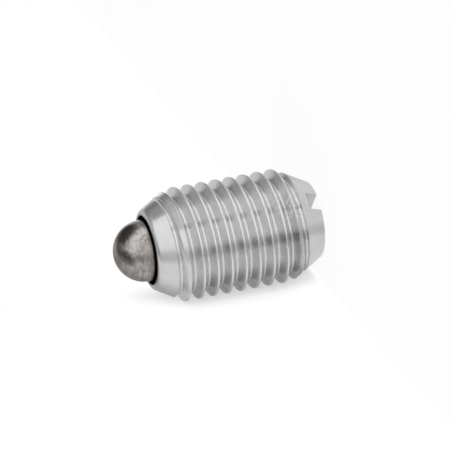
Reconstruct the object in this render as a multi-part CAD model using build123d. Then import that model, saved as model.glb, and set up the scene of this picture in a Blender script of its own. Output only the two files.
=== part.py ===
from build123d import *
from math import ceil, radians, tan
import os

# Spring plunger with a round-nosed bolt: a threaded body with a rolled lip at its mouth and a
# screwdriver slot at its rear, a shouldered bolt that slides in its bore, and the spring behind it.
# Millimetres. The axis is Z with the nose up, and the centre of the rear face is the origin.

# Thread, over the whole body
THREAD_DIAMETER = 15.7  # over the crests
THREAD_PITCH = 2.0
THREAD_FLANK_ANGLE = 30.0  # each flank, from a plane square to the axis
CREST_LAND = 0.2  # flat left on each crest, along the axis
ROOT_ROUNDING = 0.289
THREAD_START = 0.0  # height of a groove's middle where it crosses +X

# Body
BODY_LENGTH = 24.0
WALL_UNDER_THREAD = 1.08  # from the bore to the bottom of the groove
REAR_WALL = 6.3  # solid metal from the rear face to the bore's floor
REAR_FACE_DIAMETER = 10.6
REAR_CONE_ANGLE = 29.0  # from the axis
REAR_EDGE_ROUNDING = 0.25
FRONT_CONE_ANGLE = 30.0  # from the axis
LIP_THICKNESS = 1.0
LIP_WIDTH = 0.58  # from the mouth to where the front cone would meet the front face
LIP_ROUNDING = 1.0
MOUTH_ROUNDING = 0.12
SLOT_WIDTH = 2.4
SLOT_DEPTH = 1.9

# Bolt
BORE_CLEARANCE = 0.08  # bolt's shoulder in the bore, at the radius
SHOULDER_STEP = 1.17  # shoulder beyond the bolt, at the radius
SHOULDER_THICKNESS = 2.2
SHOULDER_CHAMFER = 0.2
MOUTH_GAP = 0.6  # bolt in the mouth, at the radius
PROTRUSION = 4.6  # nose beyond the body's front, which is also the bolt's travel
SPIGOT_LENGTH = 3.0
SPIGOT_CHAMFER = 0.5

# Spring, as it sits behind the bolt at rest
WIRE_DIAMETER = 1.4
SPRING_BORE_CLEARANCE = 0.4  # coils in the bore, at the radius
SPIGOT_CLEARANCE = 0.2  # spigot in the coils, at the radius
COIL_PITCH = 2.74
CLOSED_TURNS = 1.0  # at each end
CLOSED_COIL_GAP = 0.03
END_GRINDING = 0.25  # tip left after the ends are ground flat, in wire diameters

# Radii that follow from the thread inwards
thread_radius = THREAD_DIAMETER / 2
groove_mouth = THREAD_PITCH - CREST_LAND
flank_slope = tan(radians(THREAD_FLANK_ANGLE))
groove_apex = thread_radius - groove_mouth / 2 / flank_slope
root_radius = groove_apex + ROOT_ROUNDING
bore_radius = root_radius - WALL_UNDER_THREAD
shoulder_radius = bore_radius - BORE_CLEARANCE
bolt_radius = shoulder_radius - SHOULDER_STEP
mouth_radius = bolt_radius + MOUTH_GAP
coil_radius = bore_radius - SPRING_BORE_CLEARANCE - WIRE_DIAMETER / 2
spigot_radius = coil_radius - WIRE_DIAMETER / 2 - SPIGOT_CLEARANCE

# Heights that follow from the body's two ends
lip_underside = BODY_LENGTH - LIP_THICKNESS
shoulder_underside = lip_underside - SHOULDER_THICKNESS
nose_tip = BODY_LENGTH + PROTRUSION


def half_section(*outline):
    """A face on the plane through the axis, from lines drawn with radius across and height up."""
    edges = [edge for line in outline for edge in line.edges()]
    return Plane.XZ * Face(Wire(edges))


def rounded(section, r, z, rounding):
    """The section with its corner at radius r and height z rounded."""
    corner = section.vertices().sort_by_distance((r, 0, z))[0]
    return section.fillet_2d(rounding, [corner])


def turned_body():
    """The body as it leaves the lathe: two cones, a blind bore and a lip round the mouth."""
    front_edge = mouth_radius + LIP_WIDTH
    rear_edge = REAR_FACE_DIAMETER / 2
    front_cone_start = BODY_LENGTH - (thread_radius - front_edge) / tan(radians(FRONT_CONE_ANGLE))
    rear_cone_end = (thread_radius - rear_edge) / tan(radians(REAR_CONE_ANGLE))
    outline = Polyline(
        (0, 0),
        (rear_edge, 0),
        (thread_radius, rear_cone_end),
        (thread_radius, front_cone_start),
        (front_edge, BODY_LENGTH),
        (mouth_radius, BODY_LENGTH),
        (mouth_radius, lip_underside),
        (bore_radius, lip_underside),
        (bore_radius, REAR_WALL),
        (0, REAR_WALL),
        close=True,
    )
    # The lip's rounding stops where the mouth's own rounding begins.
    lip_room = (LIP_WIDTH - MOUTH_ROUNDING) / tan(radians(90 - FRONT_CONE_ANGLE) / 2)
    section = half_section(outline)
    section = rounded(section, rear_edge, 0, REAR_EDGE_ROUNDING)
    section = rounded(section, front_edge, BODY_LENGTH, min(LIP_ROUNDING, 0.98 * lip_room))
    section = rounded(section, mouth_radius, BODY_LENGTH, MOUTH_ROUNDING)
    return revolve(section, Axis.Z)


def groove_turn():
    """One turn of the thread's V groove, with its rounded root."""
    # The cutter widens past the crests, but stays clear of its own next turn.
    half_width = (groove_mouth + CREST_LAND / 2) / 2
    outer = groove_apex + half_width / flank_slope
    outline = Polyline((outer, -half_width), (groove_apex, 0), (outer, half_width), close=True)
    section = rounded(half_section(outline), groove_apex, 0, ROOT_ROUNDING)
    return sweep(section, path=Helix(THREAD_PITCH, THREAD_PITCH, thread_radius), is_frenet=True)


def cut_thread(blank):
    """The blank with the groove cut turn by turn, from below its rear face to past its front."""
    cutter = groove_turn()
    for turn in range(ceil(BODY_LENGTH / THREAD_PITCH) + 2):
        blank -= Pos(Z=THREAD_START + (turn - 1) * THREAD_PITCH) * cutter
    return blank


def driver_slot():
    """The straight slot across the rear face, along Y."""
    return Pos(Z=SLOT_DEPTH / 2) * Box(SLOT_WIDTH, THREAD_DIAMETER, SLOT_DEPTH)


def make_threaded_body():
    """One turned, threaded and slotted piece."""
    return cut_thread(turned_body()) - driver_slot()


def make_bolt():
    """One turned pin: round nose, shoulder behind the lip, and a spigot that centres the spring."""
    dome_centre = nose_tip - bolt_radius
    spigot_end = shoulder_underside - SPIGOT_LENGTH
    sides = Polyline(
        (0, nose_tip),
        (0, spigot_end),
        (spigot_radius - SPIGOT_CHAMFER, spigot_end),
        (spigot_radius, spigot_end + SPIGOT_CHAMFER),
        (spigot_radius, shoulder_underside),
        (shoulder_radius - SHOULDER_CHAMFER, shoulder_underside),
        (shoulder_radius, shoulder_underside + SHOULDER_CHAMFER),
        (shoulder_radius, lip_underside - SHOULDER_CHAMFER),
        (shoulder_radius - SHOULDER_CHAMFER, lip_underside),
        (bolt_radius, lip_underside),
        (bolt_radius, dome_centre),
    )
    dome = CenterArc((0, dome_centre), bolt_radius, 0, 90)
    return revolve(half_section(sides, dome), Axis.Z)


def make_spring():
    """A round-wire spring whose closed ends are ground flat on the bore's floor and the shoulder."""
    length = shoulder_underside - REAR_WALL
    closed_pitch = WIRE_DIAMETER + CLOSED_COIL_GAP
    closed_height = CLOSED_TURNS * closed_pitch
    sunk = END_GRINDING * WIRE_DIAMETER
    open_height = length + 2 * sunk - 2 * closed_height
    turn = 0.0
    height = REAR_WALL - sunk
    coils = []
    stretches = ((closed_pitch, closed_height), (COIL_PITCH, open_height), (closed_pitch, closed_height))
    for pitch, rise in stretches:
        path = Helix(pitch, rise, coil_radius)
        wire_end = Plane.XZ * Pos(coil_radius, 0) * Circle(WIRE_DIAMETER / 2)
        coil = sweep(wire_end, path=path, is_frenet=True)
        coils.append(Pos(Z=height) * Rot(Z=turn) * coil)
        turn += 360 * rise / pitch
        height += rise
    wound = coils[0] + coils[1] + coils[2]
    between_ends = Pos(Z=REAR_WALL + length / 2) * Cylinder(bore_radius, length)
    return wound & between_ends


os.makedirs("parts", exist_ok=True)
export_step(make_threaded_body(), "parts/threaded_body.step")
export_step(make_bolt(), "parts/bolt.step")
export_step(make_spring(), "parts/spring.step")
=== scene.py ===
import math

import bmesh
import bpy
import numpy as np
from mathutils import Matrix, Vector


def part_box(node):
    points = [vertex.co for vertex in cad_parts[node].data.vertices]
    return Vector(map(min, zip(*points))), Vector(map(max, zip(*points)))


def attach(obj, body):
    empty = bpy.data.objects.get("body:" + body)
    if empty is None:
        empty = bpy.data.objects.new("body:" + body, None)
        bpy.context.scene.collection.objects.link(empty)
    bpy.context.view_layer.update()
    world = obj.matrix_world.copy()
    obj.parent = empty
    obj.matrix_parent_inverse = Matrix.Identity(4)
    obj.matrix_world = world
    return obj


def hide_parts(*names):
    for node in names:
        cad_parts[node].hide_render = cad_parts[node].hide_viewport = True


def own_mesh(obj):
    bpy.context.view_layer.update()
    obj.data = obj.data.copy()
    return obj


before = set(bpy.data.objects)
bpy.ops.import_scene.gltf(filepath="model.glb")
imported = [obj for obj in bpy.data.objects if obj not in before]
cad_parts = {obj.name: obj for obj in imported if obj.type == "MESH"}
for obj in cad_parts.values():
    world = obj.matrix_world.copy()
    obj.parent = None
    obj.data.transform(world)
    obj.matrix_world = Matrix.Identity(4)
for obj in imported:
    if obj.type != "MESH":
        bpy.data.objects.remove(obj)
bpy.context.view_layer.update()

MM = 0.001

# Sizes read from the frame
_, body_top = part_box("threaded_body")
bolt_foot, bolt_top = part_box("bolt")
spring_foot, spring_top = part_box("spring")
CREST_RADIUS = body_top.x
BODY_LENGTH = body_top.z
SHOULDER_RADIUS = bolt_top.x
SPIGOT_END = bolt_foot.z
NOSE_TIP = bolt_top.z
BORE_FLOOR = spring_foot.z
SHOULDER_UNDERSIDE = spring_top.z

# Thread
PITCH = 2.0 * MM
CREST_LAND = 0.2 * MM
FLANK_ANGLE = math.radians(30)  # each flank, from a plane square to the axis
FLANK_SLOPE = math.tan(FLANK_ANGLE)
ROOT_ROUNDING = 0.289 * MM
THREAD_START = 0.0 * MM  # height of a groove's middle where it crosses +X
EDGE_BREAK = 0.05 * MM  # how far the crests' and run-outs' edges are rounded
FINE_STEP = 0.036 * MM  # between the rows where the thread runs out
ROOT_MARGIN = 0.2 * MM  # how far the fine rows reach past where the cones cut the roots
CREST_MARGIN = 0.15 * MM  # and past where they cut the crests
GROOVE_APEX = CREST_RADIUS - (PITCH - CREST_LAND) / 2 / FLANK_SLOPE
ROOT_RADIUS = GROOVE_APEX + ROOT_ROUNDING
ROOT_HALF_WIDTH = ROOT_ROUNDING * math.cos(FLANK_ANGLE)  # from a groove's middle to its flanks

# Body
WALL_UNDER_THREAD = 1.08 * MM
MOUTH_STEP = 0.57 * MM  # shoulder beyond the mouth
LIP_WIDTH = 0.58 * MM  # from the mouth to where the front cone would meet the front face
LIP_THICKNESS = 1.0 * MM
BORE_RADIUS = ROOT_RADIUS - WALL_UNDER_THREAD
MOUTH_RADIUS = SHOULDER_RADIUS - MOUTH_STEP
REAR_FACE_RADIUS = 5.3 * MM
REAR_CONE_SLOPE = math.tan(math.radians(29))  # radius gained for each unit of height
FRONT_CONE_SLOPE = math.tan(math.radians(30))
FRONT_FACE_RADIUS = MOUTH_RADIUS + LIP_WIDTH
LIP_UNDERSIDE = BODY_LENGTH - LIP_THICKNESS
REAR_CONE_PLAIN = 1.2 * MM  # height up to which the rear cone is sampled apart from the thread
BORE_FLOOR_RIM = 1.0 * MM  # ring of the bore's floor that is drawn before the rest is filled
REAR_EDGE_ROUNDING = 0.25 * MM
LIP_ROUNDING = 1.0 * MM
MOUTH_ROUNDING = 0.12 * MM
SLOT_WIDTH = 2.4 * MM
SLOT_DEPTH = 1.9 * MM
SLOT_EDGE_BREAK = 0.05 * MM

# Bolt
MOUTH_GAP = 0.6 * MM  # bolt in the mouth
BOLT_RADIUS = MOUTH_RADIUS - MOUTH_GAP
SPIGOT_RADIUS = 3.5 * MM
SHOULDER_CHAMFER = 0.2 * MM
SPIGOT_CHAMFER = 0.5 * MM
SPIGOT_EDGE_BREAK = 0.06 * MM  # also the rounding in the corners beside the shoulder
SHOULDER_EDGE_BREAK = 0.04 * MM

# Spring
WIRE_RADIUS = 0.7 * MM
COIL_RADIUS = spring_top.x - WIRE_RADIUS
CLOSED_PITCH = 1.43 * MM
OPEN_PITCH = 2.74 * MM
END_SINK = 0.35 * MM  # how far the wire's middle starts beyond each ground end

AROUND = 256  # points round the axis on the body and the bolt
ALONG_TURN = 72  # points along each turn of the spring
ROUND_WIRE = 24  # points round its wire
UP_NOSE = 48  # points from the foot of the nose's ball to its tip
WELD = 0.0005 * MM  # points closer together than this are one

# Edges that turn by more than this stay sharp
SHARP = math.radians(50)
BOLT_SHARP = math.radians(60)
SLOT_SHARP = math.radians(40)

# ----------------------------------------------------------------------
# Meshes
# ----------------------------------------------------------------------


def grid_faces(rows, columns):
    """Corner indices of the quads of a grid of points."""
    i, j = np.meshgrid(np.arange(rows - 1), np.arange(columns - 1), indexing="ij")
    here = i * columns + j
    return np.stack([here, here + 1, here + 1 + columns, here + columns], axis=-1).reshape(-1, 4)


def mesh_from_grids(name, grids):
    """One closed mesh from grids of points, each an array of rows x columns x 3.

    Points that fall together, as at a seam, a pole or where a grid is cut off, become one. The flat
    round ends that are left open are filled.
    """
    points = np.concatenate([grid.reshape(-1, 3) for grid in grids])
    starts = np.cumsum([0] + [grid.shape[0] * grid.shape[1] for grid in grids[:-1]])
    quads = np.concatenate([
        start + grid_faces(grid.shape[0], grid.shape[1]) for start, grid in zip(starts, grids)
    ])
    mesh = bpy.data.meshes.new(name)
    mesh.vertices.add(len(points))
    mesh.vertices.foreach_set("co", points.astype(np.float32).ravel())
    mesh.loops.add(quads.size)
    mesh.loops.foreach_set("vertex_index", quads.astype(np.int32).ravel())
    mesh.polygons.add(len(quads))
    mesh.polygons.foreach_set("loop_start", np.arange(0, quads.size, 4, dtype=np.int32))
    mesh.update(calc_edges=True)
    shape = bmesh.new()
    shape.from_mesh(mesh)
    bmesh.ops.remove_doubles(shape, verts=shape.verts, dist=WELD)
    bmesh.ops.dissolve_degenerate(shape, edges=shape.edges, dist=WELD)
    open_edges = [edge for edge in shape.edges if edge.is_boundary]
    bmesh.ops.holes_fill(shape, edges=open_edges, sides=0)
    bmesh.ops.recalc_face_normals(shape, faces=shape.faces)
    shape.to_mesh(mesh)
    shape.free()
    mesh.validate()
    mesh.shade_smooth()
    piece = bpy.data.objects.new(name, mesh)
    bpy.context.scene.collection.objects.link(piece)
    return piece


def full_turn(steps):
    """Angles of a whole turn in equal steps, with both ends."""
    return np.arange(steps + 1)[None, :] * (2 * np.pi / steps)


def at(radius, azimuth, height):
    """Points at a radius from the axis, an azimuth and a height: radius x cos, radius x sin, height."""
    radius, azimuth, height = np.broadcast_arrays(radius, azimuth, height)
    return np.stack([radius * np.cos(azimuth), radius * np.sin(azimuth), height], axis=-1)


def turned(profile):
    """A grid of points: the profile of (radius, height) rows carried round the axis."""
    return at(profile[:, :1], full_turn(AROUND), profile[:, 1:])


def rounded_profile(corners, steps=7):
    """Rows of (radius, height) along straight lines whose corners are rounded.

    Each corner is (radius, height, rounding). A rounding is an arc tangent to both lines, so it
    leaves each line at rounding x tan(half the turn) from the corner.
    """
    rows = []
    for before, corner, after in zip(corners[:-2], corners[1:-1], corners[2:]):
        here = np.array(corner[:2])
        rounding = corner[2]
        back = np.array(before[:2]) - here
        back /= np.linalg.norm(back)
        ahead = np.array(after[:2]) - here
        ahead /= np.linalg.norm(ahead)
        half_turn = (math.pi - math.acos(float(np.clip(back @ ahead, -1, 1)))) / 2
        if rounding == 0 or half_turn < 1e-6:
            rows.append(here[None])
            continue
        middle = (back + ahead) / np.linalg.norm(back + ahead)
        centre = here + middle * rounding / math.cos(half_turn)
        turn = np.linspace(-half_turn, half_turn, steps)[:, None]
        along = (ahead - back) / np.linalg.norm(ahead - back)
        rows.append(centre - rounding * (np.cos(turn) * middle - np.sin(turn) * along))
    return np.concatenate([[corners[0][:2]], *rows, [corners[-1][:2]]])


def soft_min(a, b, reach):
    """The lesser of two radii, with their crossing rounded where they come within reach of each other."""
    near = np.clip(1 - np.abs(a - b) / reach, 0, None)
    return np.minimum(a, b) - near**2 * reach / 4


# ----------------------------------------------------------------------
# Threaded body
# ----------------------------------------------------------------------


def thread_radius(offset):
    """Radius of an endless thread, from the distance along the axis to the nearest groove's middle.

    The root is an arc, radius = apex + 2 rho - sqrt(rho^2 - offset^2), the flanks are straight lines at
    30 degrees, and the crest is flat with its two edges rounded.
    """
    offset = np.abs((offset + PITCH / 2) % PITCH - PITCH / 2)
    arc = GROOVE_APEX + 2 * ROOT_ROUNDING - np.sqrt(np.clip(ROOT_ROUNDING**2 - offset**2, 0, None))
    flank = GROOVE_APEX + offset / FLANK_SLOPE
    in_root = offset < ROOT_HALF_WIDTH
    return np.where(in_root, arc, soft_min(flank, np.full_like(flank, CREST_RADIUS), EDGE_BREAK))


def cone_radius(height):
    """Radius of the two cones that the thread runs out on, the lesser of the two at each height."""
    rear = REAR_FACE_RADIUS + height * REAR_CONE_SLOPE
    front = FRONT_FACE_RADIUS + (BODY_LENGTH - height) * FRONT_CONE_SLOPE
    return np.minimum(rear, front)


def pitch_rows(fine):
    """Distances from a groove's middle at which the thread is sampled, over one pitch.

    Where it runs out on a cone the fine rows are added, because the edge there crosses every row.
    """
    mouth = (PITCH - CREST_LAND) / 2
    edge = EDGE_BREAK * FLANK_SLOPE
    half = np.concatenate([
        np.linspace(0, ROOT_HALF_WIDTH, 4),
        np.linspace(ROOT_HALF_WIDTH, mouth - edge, 3)[1:],
        np.linspace(mouth - edge, mouth + edge, 5)[1:],
        [PITCH / 2],
    ])
    if fine:
        half = np.concatenate([half, np.arange(ROOT_HALF_WIDTH, PITCH / 2, FINE_STEP)])
        half = np.unique(np.round(half / MM, 4)) * MM
    return np.concatenate([-half[:0:-1], half[:-1]])


def thread_between(low, high, fine=False):
    """The thread's surface between two heights, as a grid whose rows follow the helix.

    height = start + row + pitch x turn, held between the two heights. The grid has a last column a
    whole turn on, where each row meets the row that lies a pitch above it.
    """
    first = math.floor((low - THREAD_START) / PITCH) - 2
    last = math.ceil((high - THREAD_START) / PITCH) + 1
    turns = np.arange(first, last + 1)[:, None]
    rows = (turns * PITCH + pitch_rows(fine)[None, :]).reshape(-1, 1)
    azimuth = full_turn(AROUND)
    height = np.clip(THREAD_START + rows + PITCH * azimuth / (2 * np.pi), low, high)
    offset = height - PITCH * azimuth / (2 * np.pi) - THREAD_START
    radius = soft_min(thread_radius(offset), cone_radius(height), EDGE_BREAK)
    return at(radius, azimuth, height)


def cut_slot(body):
    """The screwdriver slot, cut straight across the rear face along Y, with its edges just broken."""
    half = SLOT_WIDTH / 2
    reach = CREST_RADIUS
    near = 0.01 * MM
    corners = np.array([
        (x, y, z) for z in (-SLOT_DEPTH, SLOT_DEPTH) for y in (-reach, reach) for x in (-half, half)
    ])
    sides = [(0, 2, 3, 1), (4, 5, 7, 6), (0, 1, 5, 4), (2, 6, 7, 3), (0, 4, 6, 2), (1, 3, 7, 5)]
    mesh = bpy.data.meshes.new("slot_cutter")
    mesh.from_pydata(corners.tolist(), [], sides)
    cutter = bpy.data.objects.new("slot_cutter", mesh)
    bpy.context.scene.collection.objects.link(cutter)
    cut = body.modifiers.new("slot", "BOOLEAN")
    cut.operation = "DIFFERENCE"
    cut.solver = "EXACT"
    cut.object = cutter
    bpy.context.view_layer.update()
    evaluated = body.evaluated_get(bpy.context.evaluated_depsgraph_get())
    result = bpy.data.meshes.new_from_object(evaluated)
    body.modifiers.clear()
    body.data = result
    bpy.data.objects.remove(cutter)
    shape = bmesh.new()
    shape.from_mesh(result)
    edges = [
        edge for edge in shape.edges
        if len(edge.link_faces) == 2
        and edge.calc_face_angle(0) > SLOT_SHARP
        and all(
            abs(abs(end.co.x) - half) < near and end.co.z < SLOT_DEPTH - near
            for end in edge.verts
        )
    ]
    bmesh.ops.bevel(
        shape, geom=edges, offset=SLOT_EDGE_BREAK, segments=2, profile=0.5, affect="EDGES",
        clamp_overlap=True,
    )
    shape.to_mesh(result)
    shape.free()
    result.name = "body_turned"


def make_threaded_body():
    """The body's skin, from its rear face over the thread and the lip to the floor of its bore."""
    rear_start = (ROOT_RADIUS - REAR_FACE_RADIUS) / REAR_CONE_SLOPE - ROOT_MARGIN
    rear_end = (CREST_RADIUS - REAR_FACE_RADIUS) / REAR_CONE_SLOPE + CREST_MARGIN
    front_start = BODY_LENGTH - (CREST_RADIUS - FRONT_FACE_RADIUS) / FRONT_CONE_SLOPE - CREST_MARGIN
    front_end = BODY_LENGTH - (ROOT_RADIUS - FRONT_FACE_RADIUS) / FRONT_CONE_SLOPE + ROOT_MARGIN
    rear = rounded_profile([
        (REAR_FACE_RADIUS - 2 * REAR_EDGE_ROUNDING, 0, 0),
        (REAR_FACE_RADIUS, 0, REAR_EDGE_ROUNDING),
        (cone_radius(REAR_CONE_PLAIN), REAR_CONE_PLAIN, 0),
        (cone_radius(rear_start), rear_start, 0),
    ])
    front = rounded_profile([
        (cone_radius(front_end), front_end, 0),
        (FRONT_FACE_RADIUS, BODY_LENGTH, LIP_ROUNDING),
        (MOUTH_RADIUS, BODY_LENGTH, MOUTH_ROUNDING),
        (MOUTH_RADIUS, LIP_UNDERSIDE, 0),
        (BORE_RADIUS, LIP_UNDERSIDE, 0),
        (BORE_RADIUS, BORE_FLOOR, 0),
        (BORE_RADIUS - BORE_FLOOR_RIM, BORE_FLOOR, 0),
    ], steps=14)
    body = mesh_from_grids("body_turned", [
        turned(rear),
        thread_between(rear_start, rear_end, fine=True),
        thread_between(rear_end, front_start),
        thread_between(front_start, front_end, fine=True),
        turned(front),
    ])
    cut_slot(body)
    body.data.shade_smooth()
    body.data.set_sharp_from_angle(angle=SHARP)
    return body


# ----------------------------------------------------------------------
# Bolt
# ----------------------------------------------------------------------


def make_bolt():
    """The bolt, from its spigot's end over the shoulder to the round nose.

    The nose is half a ball, radius = R cos(latitude), height = centre + R sin(latitude).
    """
    centre = NOSE_TIP - BOLT_RADIUS
    sides = rounded_profile([
        (SPIGOT_RADIUS - 2 * SPIGOT_CHAMFER, SPIGOT_END, 0),
        (SPIGOT_RADIUS - SPIGOT_CHAMFER, SPIGOT_END, SPIGOT_EDGE_BREAK),
        (SPIGOT_RADIUS, SPIGOT_END + SPIGOT_CHAMFER, SPIGOT_EDGE_BREAK),
        (SPIGOT_RADIUS, SHOULDER_UNDERSIDE, SPIGOT_EDGE_BREAK),
        (SHOULDER_RADIUS - SHOULDER_CHAMFER, SHOULDER_UNDERSIDE, SHOULDER_EDGE_BREAK),
        (SHOULDER_RADIUS, SHOULDER_UNDERSIDE + SHOULDER_CHAMFER, SHOULDER_EDGE_BREAK),
        (SHOULDER_RADIUS, LIP_UNDERSIDE - SHOULDER_CHAMFER, SHOULDER_EDGE_BREAK),
        (SHOULDER_RADIUS - SHOULDER_CHAMFER, LIP_UNDERSIDE, SHOULDER_EDGE_BREAK),
        (BOLT_RADIUS, LIP_UNDERSIDE, SPIGOT_EDGE_BREAK),
        (BOLT_RADIUS, centre, 0),
        (BOLT_RADIUS, NOSE_TIP, 0),
    ], steps=5)[:-1]
    latitude = np.linspace(0, np.pi / 2, UP_NOSE + 1)[1:, None]
    nose = np.hstack([BOLT_RADIUS * np.cos(latitude), centre + BOLT_RADIUS * np.sin(latitude)])
    bolt = mesh_from_grids("bolt_turned", [turned(np.concatenate([sides, nose]))])
    bolt.data.set_sharp_from_angle(angle=BOLT_SHARP)
    return bolt


# ----------------------------------------------------------------------
# Spring
# ----------------------------------------------------------------------


def make_spring():
    """Round wire wound on a helix, closed for a turn at each end and ground flat there.

    A point is at radius coil + wire cos(angle) and height middle(turn) + wire sin(angle), held between
    the two ground ends.
    """
    low = BORE_FLOOR - END_SINK
    high = SHOULDER_UNDERSIDE + END_SINK
    open_turns = (high - low - 2 * CLOSED_PITCH) / OPEN_PITCH
    knots = np.cumsum([0, 1, open_turns, 1])
    levels = np.array([low, low + CLOSED_PITCH, high - CLOSED_PITCH, high])
    turn = np.linspace(0, knots[-1], int(knots[-1] * ALONG_TURN) + 1)[:, None]
    middle = np.interp(turn, knots, levels)
    round_wire = full_turn(ROUND_WIRE)
    radius = COIL_RADIUS + WIRE_RADIUS * np.cos(round_wire)
    height = np.clip(middle + WIRE_RADIUS * np.sin(round_wire), BORE_FLOOR, SHOULDER_UNDERSIDE)
    spring = mesh_from_grids("spring_wound", [at(radius, 2 * np.pi * turn, height)])
    spring.data.set_sharp_from_angle(angle=SHARP)
    return spring


# ----------------------------------------------------------------------
# Directions and node helpers
# ----------------------------------------------------------------------

VIEW_AZIMUTH = math.radians(-25)
FACING = Vector((math.sin(VIEW_AZIMUTH), -math.cos(VIEW_AZIMUTH), 0))  # level, towards the camera
SIDE = Vector((-FACING.y, FACING.x, 0))
UPRIGHT = Vector((0, 0, 1))
MIDDLE = UPRIGHT * BODY_LENGTH / 2


def add(tree, kind, inputs=None, **settings):
    """A new node of that kind, with its settings and inputs; an input given as a socket is linked."""
    made = tree.nodes.new(kind)
    for name, value in settings.items():
        setattr(made, name, value)
    for name, value in (inputs or {}).items():
        socket = made.inputs[name]
        if isinstance(value, bpy.types.NodeSocket):
            tree.links.new(value, socket)
        else:
            socket.default_value = value
    return made


def maths(tree, operation, *values):
    """The result of one sum on numbers or sockets."""
    return add(tree, "ShaderNodeMath", dict(enumerate(values)), operation=operation).outputs[0]


def times(tree, *shares):
    """The product of two or more shares."""
    product = shares[0]
    for other in shares[1:]:
        product = maths(tree, "MULTIPLY", product, other)
    return product


def vector_maths(tree, operation, *values, result="Vector"):
    """The result of one sum on vectors, which is a vector unless result says Value."""
    made = add(tree, "ShaderNodeVectorMath", dict(enumerate(values)), operation=operation)
    return made.outputs[result]


def scaled(tree, vector, factor):
    """The vector times the factor."""
    made = add(tree, "ShaderNodeVectorMath", {0: vector, "Scale": factor}, operation="SCALE")
    return made.outputs["Vector"]


def ramp(tree, value, low, high, start=0.0, end=1.0):
    """The value carried smoothly from start at low to end at high."""
    return add(tree, "ShaderNodeMapRange", {
        "Value": value, "From Min": low, "From Max": high, "To Min": start, "To Max": end,
    }, interpolation_type="SMOOTHSTEP").outputs["Result"]


def mixed(tree, share, a, b):
    """The number a where share is 0 and b where it is 1."""
    return add(tree, "ShaderNodeMix", {0: share, 2: a, 3: b}, data_type="FLOAT").outputs[0]


def mixed_colour(tree, share, a, b):
    """The colour a where share is 0 and b where it is 1; each is a socket or three numbers."""
    a = (*a, 1) if isinstance(a, tuple) else a
    b = (*b, 1) if isinstance(b, tuple) else b
    return add(tree, "ShaderNodeMix", {0: share, 6: a, 7: b}, data_type="RGBA").outputs[2]


def layered(tree, colour, *layers):
    """The colour with layers over it in turn, each a share and either a grey or three numbers."""
    for share, tone in layers:
        tone = tone if isinstance(tone, tuple) else (tone, tone, tone)
        colour = mixed_colour(tree, share, colour, tone)
    return colour


def height_of(tree, place):
    """Height above the rear face."""
    return add(tree, "ShaderNodeSeparateXYZ", {"Vector": place}).outputs["Z"]


def level(tree, place):
    """The place with its height taken away."""
    split = add(tree, "ShaderNodeSeparateXYZ", {"Vector": place}).outputs
    return add(tree, "ShaderNodeCombineXYZ", {"X": split["X"], "Y": split["Y"]}).outputs[0]


def from_axis(tree, place):
    """Distance from the plunger's axis."""
    return vector_maths(tree, "LENGTH", level(tree, place), result="Value")


def pointing(tree, direction, facing, side, upright):
    """How far a direction points along the one given by its shares of FACING, SIDE and UPRIGHT."""
    axis = (FACING * facing + SIDE * side + UPRIGHT * upright).normalized()
    return vector_maths(tree, "DOT_PRODUCT", direction, axis, result="Value")


def azimuth_of(tree, place):
    """Azimuth of a place round the axis, 0 at FACING and a right angle at SIDE."""
    return maths(tree, "ARCTAN2", pointing(tree, place, 0, 1, 0), pointing(tree, place, 1, 0, 0))


def between(tree, value, rise, fall, most=1.0):
    """0 below the rise and beyond the fall, which are pairs of values, and most just before the fall.

    The rise goes smoothly from 0 to 1, the fall from most to 0, and the result is rise x fall.
    """
    return times(tree, ramp(tree, value, *rise), ramp(tree, value, *fall, most, 0.0))


def sector(tree, azimuth, start, end, fade):
    """1 between two azimuths in degrees and 0 outside them, with edges that fade over some degrees."""
    half = fade / 2
    rise = (math.radians(start - half), math.radians(start + half))
    fall = (math.radians(end - half), math.radians(end + half))
    return between(tree, azimuth, rise, fall)


# ----------------------------------------------------------------------
# Shared effects
# ----------------------------------------------------------------------


def group(name, inputs, outputs):
    """An empty node group, with its inputs as {name: (type, default)} and its outputs as {name: type}."""
    tree = bpy.data.node_groups.new(name, "ShaderNodeTree")
    for title, (kind, default) in inputs.items():
        socket = tree.interface.new_socket(title, in_out="INPUT", socket_type=kind)
        if default is not None:
            socket.default_value = default
    for title, kind in outputs.items():
        tree.interface.new_socket(title, in_out="OUTPUT", socket_type=kind)
    return tree, tree.nodes.new("NodeGroupInput").outputs, tree.nodes.new("NodeGroupOutput").inputs


def line_noise(tree, spot, fourth):
    """The noise that both kinds of fine line are made of, read at a spot and a fourth coordinate."""
    return add(tree, "ShaderNodeTexNoise", {
        "Vector": spot, "W": fourth, "Scale": 1.0, "Detail": 2.0, "Roughness": 0.6,
    }, noise_dimensions="4D").outputs[0]


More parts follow.
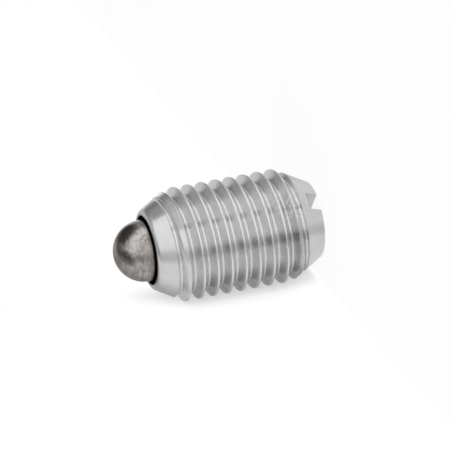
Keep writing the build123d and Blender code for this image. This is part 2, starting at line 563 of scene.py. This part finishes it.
def make_turning_lines():
    """Fine lines round the axis, as turning leaves them, that follow the thread wherever it is cut.

    The noise is read at the radius and at the place within the pitch, taken round a circle so that one
    turn runs into the next, and only slowly along the line itself.
    """
    tree, given, result = group(
        "turning_lines",
        {
            "Vector": ("NodeSocketVector", None),
            "Lines": ("NodeSocketFloat", 14000.0),
            "Pitch": ("NodeSocketFloat", PITCH),
            "Breaks": ("NodeSocketFloat", 3.0),
        },
        {"Height": "NodeSocketFloat"},
    )
    split = add(tree, "ShaderNodeSeparateXYZ", {"Vector": given["Vector"]}).outputs
    turns_up = maths(tree, "DIVIDE", split["Z"], given["Pitch"])
    azimuth = maths(tree, "ARCTAN2", split["Y"], split["X"])
    place = maths(tree, "SUBTRACT", times(tree, turns_up, math.tau), azimuth)
    reach = times(tree, given["Lines"], given["Pitch"], 1 / math.tau)
    section = add(tree, "ShaderNodeCombineXYZ", {
        "X": times(tree, maths(tree, "SINE", place), reach),
        "Y": times(tree, maths(tree, "COSINE", place), reach),
        "Z": times(tree, from_axis(tree, given["Vector"]), given["Lines"]),
    }).outputs[0]
    outward = vector_maths(tree, "NORMALIZE", level(tree, given["Vector"]))
    turn = scaled(tree, outward, given["Breaks"])
    bend = add(tree, "ShaderNodeSeparateXYZ", {"Vector": turn}).outputs["X"]
    spot = vector_maths(tree, "ADD", section, turn)
    tree.links.new(line_noise(tree, spot, times(tree, bend, 1.7)), result["Height"])
    return tree


def make_rings():
    """Fine rings round the axis: noise read at the radius and the height, and only slowly round the axis."""
    tree, given, result = group(
        "rings",
        {
            "Vector": ("NodeSocketVector", None),
            "Lines": ("NodeSocketFloat", 6000.0),
            "Breaks": ("NodeSocketFloat", 1.5),
        },
        {"Height": "NodeSocketFloat"},
    )
    outward = vector_maths(tree, "NORMALIZE", level(tree, given["Vector"]))
    turn = scaled(tree, outward, given["Breaks"])
    rise = times(tree, height_of(tree, given["Vector"]), given["Lines"])
    spot = vector_maths(tree, "ADD", turn, add(tree, "ShaderNodeCombineXYZ", {"Z": rise}).outputs[0])
    depth = times(tree, from_axis(tree, given["Vector"]), given["Lines"])
    tree.links.new(line_noise(tree, spot, depth), result["Height"])
    return tree


def make_mottle():
    """Cloudy unevenness of a metal surface: a soft large pattern and a fine one, mixed."""
    tree, given, result = group(
        "mottle",
        {
            "Vector": ("NodeSocketVector", None),
            "Large": ("NodeSocketFloat", 400.0),
            "Fine": ("NodeSocketFloat", 4000.0),
            "Fine Share": ("NodeSocketFloat", 0.4),
        },
        {"Value": "NodeSocketFloat"},
    )
    large = add(tree, "ShaderNodeTexNoise", {
        "Vector": given["Vector"], "Scale": given["Large"], "Detail": 3.0, "Roughness": 0.55,
    }).outputs[0]
    fine = add(tree, "ShaderNodeTexNoise", {
        "Vector": given["Vector"], "Scale": given["Fine"], "Detail": 2.0, "Roughness": 0.6,
    }).outputs[0]
    tree.links.new(mixed(tree, given["Fine Share"], large, fine), result["Value"])
    return tree


def use(tree, shared, **inputs):
    """What a shared effect puts out in a material, with that material's own values."""
    values = {title.replace("_", " "): value for title, value in inputs.items()}
    return add(tree, "ShaderNodeGroup", values, node_tree=shared).outputs[0]


def steel(name, colour, **settings):
    """A metal material with that colour and those other values, and its tree, shader and coordinates."""
    material = bpy.data.materials.new(name)
    material.use_nodes = True
    tree = material.node_tree
    shader = tree.nodes["Principled BSDF"]
    shader.inputs["Base Color"].default_value = (*colour, 1)
    shader.inputs["Metallic"].default_value = 1.0
    for title, value in settings.items():
        shader.inputs[title.replace("_", " ")].default_value = value
    place = add(tree, "ShaderNodeTexCoord").outputs["Object"]
    return material, tree, shader, place


def bumped(tree, shader, height, strength, distance):
    """Raises the shader's surface by a height."""
    bump = add(tree, "ShaderNodeBump", {"Strength": strength, "Distance": distance, "Height": height})
    tree.links.new(bump.outputs[0], shader.inputs["Normal"])


# ----------------------------------------------------------------------
# The body's finish, and its painted light and shade
# ----------------------------------------------------------------------

# Parts of the way round the axis: start, end and fade of the edges, in degrees from FACING to SIDE; all but
# REAR_KNOCKED hold painted shade or painted highlights
UNDERSIDE_SHADE = (-115, -50, 22)
DEEP_UNDERSIDE_SHADE = (-110, -76, 12)
TOPSIDE_LIGHT = (70, 110, 14)
REAR_SHADE = (-42, 36, 16)
REAR_KNOCKED = (8, 32, 14)
REAR_CONE_SHADE = (58, 115, 16)
CONE_HIGHLIGHT = (56, 72, 8)
CONE_TOP_SHADE = (74, 115, 8)
LAND_SHADE = (14, 42, 8)
LAND_HIGHLIGHT = (48, 95, 8)
LAND_UNDERSIDE_HIGHLIGHT = (-125, -63, 12)
GROOVE_SHADE_CROSSING = (16, 23, 5)
LIP_SHADE_SECTOR = (-72, 26, 34)

# Parts of the way up: the heights over which each fades in, and over which it fades out
REAR_SHADE_HEIGHTS = ((3.2 * MM, 4.4 * MM), (5 * MM, 8 * MM))
REAR_KNOCKED_HEIGHTS = ((2.4 * MM, 3.2 * MM), (6 * MM, 8 * MM))
FRONT_CONE_HEIGHTS = (
    (BODY_LENGTH - 2.5 * MM, BODY_LENGTH - 2.2 * MM), (BODY_LENGTH - 0.8 * MM, BODY_LENGTH - 0.5 * MM),
)
LAND_TOP = ((20.1 * MM, 20.25 * MM), (20.8 * MM, 20.95 * MM))  # first land, where it crosses FACING
LAND_WHOLE = ((19.6 * MM, 19.8 * MM), (21.2 * MM, 21.4 * MM))

THREADS_START = (3.8 * MM, 4.6 * MM)  # heights over which the tones of the threads fade in
THREADS_FADE = 0.4 * MM  # and the height over which they fade out
UNDERSIDE_SHADE_END = BODY_LENGTH - 5.1 * MM  # height at which the painted shade on the underside of the threads ends
TOPSIDE_LIGHT_END = BODY_LENGTH - 4 * MM
RUN_OUT = 2.5 * MM  # from either end of the body to the threads that are cut deep
CONE_SHADE_BAND = ((math.radians(38.5), math.radians(41.5)), (math.radians(42), math.radians(57)))


def deep_thread(tree, place):
    """1 where the thread is cut deep, between the cones, and 0 towards both ends of the body."""
    off_middle = maths(tree, "ABSOLUTE", maths(tree, "SUBTRACT", height_of(tree, place), BODY_LENGTH / 2))
    half = BODY_LENGTH / 2 - RUN_OUT
    return ramp(tree, off_middle, half - 0.2 * MM, half, 1.0, 0.0)


def thread_sector(tree, place, round_part, front_end):
    """1 in one part of the way round the threads, up to a height, and 0 elsewhere."""
    threads = between(tree, height_of(tree, place), THREADS_START, (front_end - THREADS_FADE, front_end))
    return times(tree, threads, sector(tree, azimuth_of(tree, place), *round_part))


def crest_wear_and_root_highlight(tree, place):
    """1 on the thread's crests, rubbed bright and painted brighter as highlights, 0.6 at its deep roots as a
    painted highlight, and 0 elsewhere.
    """
    away = from_axis(tree, place)
    crests = ramp(tree, away, CREST_RADIUS - 0.15 * MM, CREST_RADIUS - 0.05 * MM)
    roots = ramp(tree, away, ROOT_RADIUS + 0.02 * MM, ROOT_RADIUS + 0.09 * MM, 0.6, 0.0)
    return maths(tree, "MAXIMUM", crests, times(tree, roots, deep_thread(tree, place)))


def first_land_light_and_shade(tree, place):
    """Shares of the painted shade and of the painted highlights on the first land behind the front cone.

    The land climbs with the thread, so it is found by height - azimuth x pitch / whole turn.
    """
    azimuth = azimuth_of(tree, place)
    climbed = maths(tree, "SUBTRACT", height_of(tree, place), times(tree, azimuth, PITCH / math.tau))
    top = between(tree, climbed, *LAND_TOP)
    below = times(tree, between(tree, climbed, *LAND_WHOLE), sector(tree, azimuth, *LAND_UNDERSIDE_HIGHLIGHT))
    shade = times(tree, top, sector(tree, azimuth, *LAND_SHADE), 0.8)
    highlight = times(tree, top, sector(tree, azimuth, *LAND_HIGHLIGHT))
    return shade, maths(tree, "MAXIMUM", highlight, below)


def groove_shade_marks(tree, place):
    """Share of the short painted shade mark that crosses the bottom of every deep groove."""
    depth = ramp(tree, from_axis(tree, place), ROOT_RADIUS + 0.2 * MM, ROOT_RADIUS + 0.4 * MM, 0.36, 0.0)
    crossing = sector(tree, azimuth_of(tree, place), *GROOVE_SHADE_CROSSING)
    return times(tree, depth, deep_thread(tree, place), crossing)


def rear_thread_shade(tree, place):
    """Share of painted shade on one side of the rearmost threads, fading out forwards."""
    rear = between(tree, height_of(tree, place), *REAR_SHADE_HEIGHTS, 0.6)
    return times(tree, rear, sector(tree, azimuth_of(tree, place), *REAR_SHADE))


def cone_light_and_shade(tree, place):
    """Shares of the painted shade bands and of the painted highlight band that run down the two cones."""
    azimuth = azimuth_of(tree, place)
    height = height_of(tree, place)
    front_cone = between(tree, height, *FRONT_CONE_HEIGHTS, 0.7)
    band = between(tree, azimuth, *CONE_SHADE_BAND)
    top_shade = times(tree, sector(tree, azimuth, *CONE_TOP_SHADE), 0.6)
    front_shade = times(tree, front_cone, maths(tree, "MAXIMUM", band, top_shade))
    rear_cone = ramp(tree, height, 3 * MM, 3.6 * MM, 0.5, 0.0)
    rear_cone_shade = times(tree, rear_cone, sector(tree, azimuth, *REAR_CONE_SHADE))
    highlight = times(tree, front_cone, sector(tree, azimuth, *CONE_HIGHLIGHT))
    return maths(tree, "MAXIMUM", front_shade, rear_cone_shade), highlight


def lip_shade(tree, place):
    """Share of painted shade round one side of the mouth, fading out across the lip."""
    close = ramp(tree, from_axis(tree, place), MOUTH_RADIUS + 0.1 * MM, MOUTH_RADIUS + 0.5 * MM, 1.0, 0.0)
    lip = ramp(tree, height_of(tree, place), BODY_LENGTH - 0.5 * MM, BODY_LENGTH - 0.4 * MM)
    return times(tree, close, lip, sector(tree, azimuth_of(tree, place), *LIP_SHADE_SECTOR))


def knocked_spot(tree, place):
    """1 on a patch of the rearmost threads that has been knocked and scuffed, fading to 0 round it."""
    rear = between(tree, height_of(tree, place), *REAR_KNOCKED_HEIGHTS)
    return times(tree, rear, sector(tree, azimuth_of(tree, place), *REAR_KNOCKED))


def in_the_slot(tree, place):
    """1 on the walls and floor of the screwdriver slot, and 0 elsewhere."""
    split = add(tree, "ShaderNodeSeparateXYZ", {"Vector": place}).outputs
    half = SLOT_WIDTH / 2
    off_middle = maths(tree, "ABSOLUTE", split["X"])
    between_walls = ramp(tree, off_middle, half + 0.01 * MM, half + 0.04 * MM, 1.0, 0.0)
    low = ramp(tree, split["Z"], SLOT_DEPTH + 0.01 * MM, SLOT_DEPTH + 0.06 * MM, 1.0, 0.0)
    return times(tree, between_walls, low)


def in_the_mouth(tree, place, radius, bottom, top):
    """1 within a radius of the axis and between two heights, and 0 elsewhere, with short fades."""
    near = ramp(tree, from_axis(tree, place), radius, radius + 0.03 * MM, 1.0, 0.0)
    rise = (bottom - 0.2 * MM, bottom - 0.1 * MM)
    fall = (top - 0.06 * MM, top + 0.06 * MM)
    return times(tree, near, between(tree, height_of(tree, place), rise, fall))


def body_steel(lines, mottle):
    """Bright turned stainless steel with faint lines along the thread, painted light and shade, and painted
    shade in its mouth.
    """
    material, tree, shader, place = steel(
        "body_steel", (0.72, 0.72, 0.72), Roughness=0.24, Anisotropic=0.7, Anisotropic_Rotation=0.25
    )
    cloud = use(tree, mottle, Vector=place, Large=300.0, Fine=1700.0, Fine_Share=0.22)
    marks = use(tree, lines, Vector=place, Lines=9000.0, Pitch=PITCH, Breaks=2.0)
    nicks = use(tree, mottle, Vector=place, Large=1500.0, Fine=3400.0, Fine_Share=0.4)
    cone_shade, cone_highlight = cone_light_and_shade(tree, place)
    land_shade, land_highlight = first_land_light_and_shade(tree, place)
    knocked = knocked_spot(tree, place)
    # the slot is painted darker as shade in a recess, and is also milled rougher
    milled_and_shaded = in_the_slot(tree, place)
    mouth_shade = in_the_mouth(tree, place, MOUTH_RADIUS + 0.03 * MM, BORE_FLOOR, BODY_LENGTH - MOUTH_ROUNDING)
    colour = mixed_colour(tree, ramp(tree, cloud, 0.35, 0.65), (0.685, 0.685, 0.685), (0.75, 0.75, 0.755))
    colour = layered(
        tree,
        colour,
        # painted shade on the underside of the threads, deeper on part of it
        (thread_sector(tree, place, UNDERSIDE_SHADE, UNDERSIDE_SHADE_END), 0.55),
        (thread_sector(tree, place, DEEP_UNDERSIDE_SHADE, UNDERSIDE_SHADE_END), 0.4),
        # painted light on the top side of the threads
        (thread_sector(tree, place, TOPSIDE_LIGHT, TOPSIDE_LIGHT_END), 0.92),
        # painted shade on one side of the rearmost threads
        (rear_thread_shade(tree, place), 0.58),
        # painted shade bands and a painted highlight band on the two cones
        (cone_shade, 0.5),
        (cone_highlight, 0.84),
        # crests rubbed bright and painted brighter as highlights, with painted highlights in the deep roots
        (crest_wear_and_root_highlight(tree, place), 0.84),
        # painted shade and painted highlights on the first land
        (land_shade, (0.42, 0.42, 0.415)),
        (land_highlight, 0.95),
        # painted shade across the bottom of each deep groove
        (groove_shade_marks(tree, place), 0.42),
        (times(tree, knocked, ramp(tree, nicks, 0.53, 0.6)), 0.9),
        (times(tree, knocked, ramp(tree, nicks, 0.4, 0.46, 0.7, 0.0)), 0.45),
        # painted shade in the slot
        (milled_and_shaded, 0.6),
        # painted shade on one side of the lip
        (lip_shade(tree, place), 0.06),
        # painted shade deep in the mouth
        (mouth_shade, 0.03),
    )
    tree.links.new(colour, shader.inputs["Base Color"])
    turned_rough = ramp(tree, marks, 0.3, 0.7, -0.03, 0.04)
    rough = maths(tree, "ADD", ramp(tree, cloud, 0.3, 0.7, 0.2, 0.26), turned_rough)
    rough = maths(tree, "ADD", rough, times(tree, milled_and_shaded, 0.1))
    tree.links.new(rough, shader.inputs["Roughness"])
    bumped(tree, shader, marks, 0.2, 0.004 * MM)
    return material


# ----------------------------------------------------------------------
# The bolt's and the spring's finish, and the bolt's painted light and shade
# ----------------------------------------------------------------------

# Directions from the middle of the nose's ball, as shares of FACING, SIDE and UPRIGHT, to the painted
# highlights and the darker patch
NOSE_HIGHLIGHT_MIDDLE = (0.82, 0.3, 0.49)
NOSE_SIDE_HIGHLIGHT = (0.83, 0.52, 0.18)
DARK_PATCH = (0.353, 0.65, 0.67)


def nose_light_and_shade(tree, place, cloud):
    """Shares of a painted highlight on the nose, and of a painted shade ring that curves round its tip side
    together with a darker patch.

    Both go by the angle from a spot's middle, as seen from the middle of the nose's ball, and the
    clouded pattern makes their edges uneven.
    """
    ball_middle = (0, 0, NOSE_TIP - BOLT_RADIUS)
    outward = vector_maths(tree, "NORMALIZE", vector_maths(tree, "SUBTRACT", place, ball_middle))
    unevenness = times(tree, maths(tree, "SUBTRACT", cloud, 0.5), 0.16)
    nearness = maths(tree, "ADD", pointing(tree, outward, *NOSE_HIGHLIGHT_MIDDLE), unevenness)
    spot = ramp(tree, nearness, 0.87, 0.97, 0.0, 0.7)
    beside = ramp(tree, pointing(tree, outward, *NOSE_SIDE_HIGHLIGHT), 0.94, 0.985, 0.0, 0.85)
    ring = between(tree, nearness, (0.66, 0.8), (0.84, 0.91))
    tip_side = ramp(tree, height_of(tree, outward), 0.45, 0.68, 0.0, 0.85)
    patch_nearness = maths(tree, "SUBTRACT", pointing(tree, outward, *DARK_PATCH), times(tree, cloud, 0.16))
    dark_patch = ramp(tree, patch_nearness, 0.77, 0.9)
    nose_highlight = maths(tree, "MAXIMUM", spot, beside)
    return nose_highlight, maths(tree, "MAXIMUM", times(tree, ring, tip_side), dark_patch)


def bolt_steel(rings, mottle):
    """Hardened steel ground to a grey-brown, with fine rings and clouded stains; painted light and shade on
    the nose, and painted shade beside and in the mouth.
    """
    material, tree, shader, place = steel("bolt_steel", (0.4, 0.37, 0.35), Roughness=0.2)
    broad = use(tree, rings, Vector=place, Lines=2400.0, Breaks=1.6)
    fine = use(tree, rings, Vector=place, Lines=8000.0, Breaks=2.4)
    cloud = use(tree, mottle, Vector=place, Large=420.0, Fine=2400.0, Fine_Share=0.35)
    flecks = use(tree, mottle, Vector=place, Large=2600.0, Fine=5200.0, Fine_Share=0.4)
    streaks = times(tree, maths(tree, "ADD", broad, fine), 0.5)
    nose_highlight, nose_shade_and_patch = nose_light_and_shade(tree, place, cloud)
    # painted shade on the nose just above the mouth
    mouth_edge_shade = ramp(tree, height_of(tree, place), BODY_LENGTH + 0.15 * MM, BODY_LENGTH + 0.75 * MM, 0.6, 0.0)
    # height up to which the bolt is painted dark, as shade down in the mouth
    shade_top = NOSE_TIP - BOLT_RADIUS - 0.16 * MM
    mouth_shade = in_the_mouth(tree, place, CREST_RADIUS, SPIGOT_END, shade_top)
    colour = mixed_colour(tree, ramp(tree, streaks, 0.42, 0.58), (0.29, 0.27, 0.255), (0.48, 0.46, 0.44))
    colour = layered(
        tree,
        colour,
        # painted highlight on the nose
        (nose_highlight, (0.64, 0.62, 0.6)),
        (ramp(tree, cloud, 0.38, 0.54, 0.5, 0.0), (0.14, 0.125, 0.115)),
        # painted shade ring round the nose's tip side, and a darker patch
        (nose_shade_and_patch, (0.08, 0.072, 0.068)),
        (ramp(tree, flecks, 0.52, 0.62, 0.0, 0.3), (0.34, 0.24, 0.19)),
        # painted shade on the nose beside the mouth
        (mouth_edge_shade, (0.1, 0.08, 0.07)),
        # painted shade on the bolt down in the mouth
        (mouth_shade, 0.02),
    )
    tree.links.new(colour, shader.inputs["Base Color"])
    ring_rough = ramp(tree, fine, 0.3, 0.7, -0.03, 0.05)
    rough = maths(tree, "ADD", ramp(tree, cloud, 0.3, 0.7, 0.24, 0.15), ring_rough)
    tree.links.new(rough, shader.inputs["Roughness"])
    bumped(tree, shader, streaks, 0.3, 0.005 * MM)
    return material


def spring_steel(mottle):
    """Drawn spring wire, grey and slightly dull."""
    material, tree, shader, place = steel("spring_steel", (0.55, 0.55, 0.54), Roughness=0.35)
    cloud = use(tree, mottle, Vector=place, Large=900.0, Fine=6000.0, Fine_Share=0.5)
    colour = mixed_colour(tree, ramp(tree, cloud, 0.35, 0.65), (0.46, 0.455, 0.44), (0.6, 0.6, 0.59))
    tree.links.new(colour, shader.inputs["Base Color"])
    tree.links.new(ramp(tree, cloud, 0.3, 0.7, 0.28, 0.45), shader.inputs["Roughness"])
    return material


# ----------------------------------------------------------------------
# Camera, tent and lamp
# ----------------------------------------------------------------------

VIEW_ELEVATION = math.radians(15.6)
VIEW_ROLL = math.radians(-100.45)
VIEW_DISTANCE = 530 * MM
VIEW_LENS = 309.5
VIEW_AIM = (-0.66 * MM, 1.33 * MM)  # beside the body's middle, to the right and up in the view

# How bright each part of the tent is
FRONT_PANEL = 1.0
SIDE_PANEL = 0.82
SIDE_PANEL_BACK = 0.46
GAP_LOW = 0.58
GAP_HIGH = 0.22
GAP_BACK = 0.5
FAR_CORNER = 0.17
FAR_CORNER_NEAR = 0.42

LAMP_DISTANCE = 0.9
LAMP_WIDTH = 0.62
LAMP_LIGHT = 1.0  # how bright it makes a white sheet that faces it


def make_camera():
    """The camera, turned on its side so that the plunger lies across the view."""
    back = FACING * math.cos(VIEW_ELEVATION) + UPRIGHT * math.sin(VIEW_ELEVATION)
    top = UPRIGHT * math.cos(VIEW_ELEVATION) - FACING * math.sin(VIEW_ELEVATION)
    upright_view = Matrix((SIDE, top, back)).transposed()
    turned_view = upright_view @ Matrix.Rotation(VIEW_ROLL, 3, "Z")
    aim = MIDDLE + turned_view.col[0] * VIEW_AIM[0] + turned_view.col[1] * VIEW_AIM[1]
    data = bpy.data.cameras.new("camera")
    data.lens = VIEW_LENS
    data.sensor_width = 36
    data.clip_start = 10 * MM
    data.clip_end = 20
    camera = bpy.data.objects.new("camera", data)
    camera.matrix_world = Matrix.Translation(aim + back * VIEW_DISTANCE) @ turned_view.to_4x4()
    bpy.context.scene.collection.objects.link(camera)
    bpy.context.scene.camera = camera


def make_surroundings():
    """A pale tent of two large panels, with a darker gap between them that runs up and over the plunger.

    across is how far a direction lies to the front panel's side of the gap.
    """
    world = bpy.data.worlds.new("tent")
    world.use_nodes = True
    tree = world.node_tree
    direction = add(tree, "ShaderNodeTexCoord").outputs["Generated"]
    height = maths(tree, "ABSOLUTE", height_of(tree, direction))
    facing = pointing(tree, direction, 1, 0, 0)
    bent = ramp(tree, facing, -0.7, -0.35, 0.25, 0.0)
    across = maths(tree, "ADD", pointing(tree, direction, 0.55, 0.835, 0), bent)
    side_panel = ramp(tree, facing, -0.9, -0.1, SIDE_PANEL_BACK, SIDE_PANEL)
    corner = ramp(tree, facing, -0.75, -0.1, FAR_CORNER, FAR_CORNER_NEAR)
    front_panel = mixed(tree, ramp(tree, facing, -0.1, 0.12), corner, FRONT_PANEL)
    gap_top = ramp(tree, facing, -0.3, 0.05, GAP_BACK, GAP_HIGH)
    gap = mixed(tree, ramp(tree, height, 0.81, 0.96), GAP_LOW, gap_top)
    light = mixed(tree, ramp(tree, across, -0.26, -0.12), side_panel, gap)
    light = mixed(tree, ramp(tree, across, 0.06, 0.4), light, front_panel)
    seen = add(tree, "ShaderNodeLightPath").outputs["Is Camera Ray"]
    background = tree.nodes["Background"]
    tree.links.new(mixed(tree, seen, light, 1.0), background.inputs["Strength"])
    background.inputs["Color"].default_value = (1, 1, 1, 1)
    bpy.context.scene.world = world


def make_lamp():
    """One wide square lamp beside the camera, hidden from the metal by the tent, for the soft shadows.

    Its power is how bright it makes a white sheet x pi^2 x distance^2.
    """
    toward = (FACING + SIDE * 0.32 + UPRIGHT * 0.3).normalized()
    data = bpy.data.lights.new("shadow_lamp", "AREA")
    data.shape = "SQUARE"
    data.size = LAMP_WIDTH
    data.energy = LAMP_LIGHT * math.pi**2 * LAMP_DISTANCE**2
    lamp = bpy.data.objects.new("shadow_lamp", data)
    lamp.location = MIDDLE + toward * LAMP_DISTANCE
    lamp.rotation_mode = "QUATERNION"
    lamp.rotation_quaternion = toward.to_track_quat("Z", "Y")
    lamp.visible_camera = False
    lamp.visible_glossy = False
    bpy.context.scene.collection.objects.link(lamp)


# ----------------------------------------------------------------------
# Floor and backdrop
# ----------------------------------------------------------------------

FLOOR_REACH = 3.0
FLOOR_WHITE = 0.9  # share of plain white in what the camera sees of the floor
PAD_RADIUS = 9.3 * MM  # a pale pad under the plunger, which lights its rear cone and slot
PAD_LIGHT = 0.76
BACKDROP_REACH = 1.0
BACKDROP_HEIGHT = 1.5
BACKDROP_TURN = math.radians(25)  # from square to the view towards the camera
BACKDROP_GAP = 0.02 * MM  # from the crests
BACKDROP_WHITE = 0.47  # share of plain white in it, beside the plunger

# Parts of the way round the floor: start, end and fade of the edges, in degrees from FACING to SIDE
FLOOR_DIM = (-170, -98, 40)
FLOOR_FRONT = (-104, -38, 16)
FLOOR_SHADED = (-104, -30, 16)
FLOOR_STRIPE = (-37, -18, 10)
FLOOR_FAR_STRIPE = (35, 42, 5)
SIDE_SHEET = (70, 176, 8)
PAD_BRIGHT = (-100, 100, 50)
PAD_DIM = (-24, -8, 14)


def white_sheet(name, corners, whiteness):
    """A flat sheet of four corners in a matt white, and its tree and shader."""
    mesh = bpy.data.meshes.new(name)
    mesh.from_pydata(corners, [], [(0, 1, 2, 3)])
    sheet = bpy.data.objects.new(name, mesh)
    bpy.context.scene.collection.objects.link(sheet)
    material = bpy.data.materials.new(name + "_white")
    material.use_nodes = True
    tree = material.node_tree
    shader = tree.nodes["Principled BSDF"]
    shader.inputs["Base Color"].default_value = (whiteness, whiteness, whiteness, 1)
    shader.inputs["Roughness"].default_value = 0.9
    mesh.materials.append(material)
    return sheet, tree, shader


def glow(tree, strength):
    """A plain white glow."""
    return add(tree, "ShaderNodeEmission", {"Color": (1, 1, 1, 1), "Strength": strength}).outputs[0]


def blended(tree, share, a, b):
    """The shader a where share is 0 and b where it is 1."""
    return add(tree, "ShaderNodeMixShader", {0: share, 1: a, 2: b}).outputs[0]


def make_backdrop():
    """A white sheet that stands along the plunger's side, so that its soft shadow falls beside it.

    The sheet can only be seen from its own front, and the metal doesn't reflect it.
    """
    front = SIDE * math.cos(BACKDROP_TURN) + FACING * math.sin(BACKDROP_TURN)
    along = FACING * math.cos(BACKDROP_TURN) - SIDE * math.sin(BACKDROP_TURN)
    foot = front * -(CREST_RADIUS + BACKDROP_GAP)
    top = UPRIGHT * BACKDROP_HEIGHT
    near, far = foot + along * BACKDROP_REACH, foot - along * BACKDROP_REACH
    corners = [tuple(corner) for corner in (near, far, far + top, near + top)]
    backdrop, tree, shader = white_sheet("backdrop", corners, 0.935)
    backdrop.visible_glossy = False
    backdrop.visible_diffuse = False
    backdrop.visible_shadow = False
    shader.inputs["Specular IOR Level"].default_value = 0.0
    place = add(tree, "ShaderNodeTexCoord").outputs["Object"]
    ahead = vector_maths(tree, "DOT_PRODUCT", place, along, result="Value")
    beside = ramp(tree, ahead, -6 * MM, -1 * MM)
    above_floor = ramp(tree, height_of(tree, place), 0, 1.1 * MM)
    whiteness = mixed(tree, times(tree, beside, above_floor), 1.0, BACKDROP_WHITE)
    lit = blended(tree, whiteness, shader.outputs[0], glow(tree, 1.0))
    behind = add(tree, "ShaderNodeNewGeometry").outputs["Backfacing"]
    clear = add(tree, "ShaderNodeBsdfTransparent").outputs[0]
    tree.links.new(blended(tree, behind, lit, clear), tree.nodes["Material Output"].inputs["Surface"])


def sheen_in_metal(tree, azimuth, away):
    """The floor's soft sheen as the metal shows it, a painted reflection that is dimmer in some directions
    and distances.
    """
    close = ramp(tree, away, 28 * MM, 34 * MM, 1.0, 0.0)
    closest = ramp(tree, away, 11 * MM, 20 * MM, 1.0, 0.0)
    far = ramp(tree, away, 25 * MM, 31 * MM)
    dim = mixed(tree, ramp(tree, away, 25 * MM, 70 * MM), 0.66, 0.82)
    light = mixed(tree, sector(tree, azimuth, *FLOOR_DIM), 1.0, dim)
    light = mixed(tree, times(tree, close, sector(tree, azimuth, *FLOOR_FRONT)), light, 0.9)
    light = mixed(tree, times(tree, closest, sector(tree, azimuth, *FLOOR_SHADED)), light, 0.5)
    light = mixed(tree, times(tree, close, sector(tree, azimuth, *FLOOR_STRIPE)), light, 0.3)
    light = mixed(tree, times(tree, far, sector(tree, azimuth, *FLOOR_FAR_STRIPE)), light, 0.6)
    colour = add(tree, "ShaderNodeCombineColor", {"Red": light, "Green": light, "Blue": light}).outputs[0]
    return add(tree, "ShaderNodeBsdfAnisotropic", {"Color": colour, "Roughness": 0.15}).outputs[0]


def side_sheet_in_metal(tree, azimuth):
    """A glowing sheet on the floor to one side, dimmer in the middle of its width."""
    dimming = ramp(tree, azimuth, math.radians(78), math.radians(106), 0.95, 0.62)
    return glow(tree, mixed(tree, ramp(tree, azimuth, math.radians(135), math.radians(150)), dimming, 0.95))


def pad_in_metal(tree, azimuth):
    """The glowing pad under the plunger, brighter towards the camera but for a dim stripe."""
    light = mixed(tree, sector(tree, azimuth, *PAD_BRIGHT), PAD_LIGHT * 0.9, PAD_LIGHT * 1.05)
    return glow(tree, mixed(tree, sector(tree, azimuth, *PAD_DIM), light, PAD_LIGHT * 0.8))


def make_floor():
    """A white floor that keeps a faint shadow; only the metal sees the painted sheen and the glowing side
    sheet and pad on it.
    """
    reach = FLOOR_REACH
    corners = [(-reach, -reach, 0), (reach, -reach, 0), (reach, reach, 0), (-reach, reach, 0)]
    floor, tree, shader = white_sheet("floor", corners, 0.95)
    place = add(tree, "ShaderNodeTexCoord").outputs["Object"]
    azimuth = azimuth_of(tree, place)
    away = from_axis(tree, place)
    on_side_sheet = times(tree, sector(tree, azimuth, *SIDE_SHEET), 0.85)
    on_pad = ramp(tree, away, PAD_RADIUS - 0.5 * MM, PAD_RADIUS + 0.5 * MM, 1.0, 0.0)
    sheen = sheen_in_metal(tree, azimuth, away)
    in_metal = blended(tree, on_side_sheet, sheen, side_sheet_in_metal(tree, azimuth))
    in_metal = blended(tree, on_pad, in_metal, pad_in_metal(tree, azimuth))
    path = add(tree, "ShaderNodeLightPath").outputs
    surface = blended(tree, path["Is Glossy Ray"], shader.outputs[0], in_metal)
    seen = times(tree, path["Is Camera Ray"], FLOOR_WHITE)
    surface = blended(tree, seen, surface, glow(tree, 1.0))
    tree.links.new(surface, tree.nodes["Material Output"].inputs["Surface"])


# ----------------------------------------------------------------------
# The plunger
# ----------------------------------------------------------------------


def fit(piece, body, node, material):
    """Gives a finished piece its material and its place in the frame."""
    piece.data.materials.clear()
    piece.data.materials.append(material)
    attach(piece, body)
    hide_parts(node)


turning_lines = make_turning_lines()
turning_rings = make_rings()
surface_mottle = make_mottle()

body_piece = make_threaded_body()
fit(body_piece, "threaded_body", "threaded_body", body_steel(turning_lines, surface_mottle))

bolt_piece = make_bolt()
fit(bolt_piece, "bolt", "bolt", bolt_steel(turning_rings, surface_mottle))

spring_piece = make_spring()
fit(spring_piece, "spring", "spring", spring_steel(surface_mottle))
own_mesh(spring_piece)

make_floor()
make_backdrop()
make_surroundings()
make_lamp()
make_camera()
bpy.context.scene.view_settings.view_transform = "Standard"
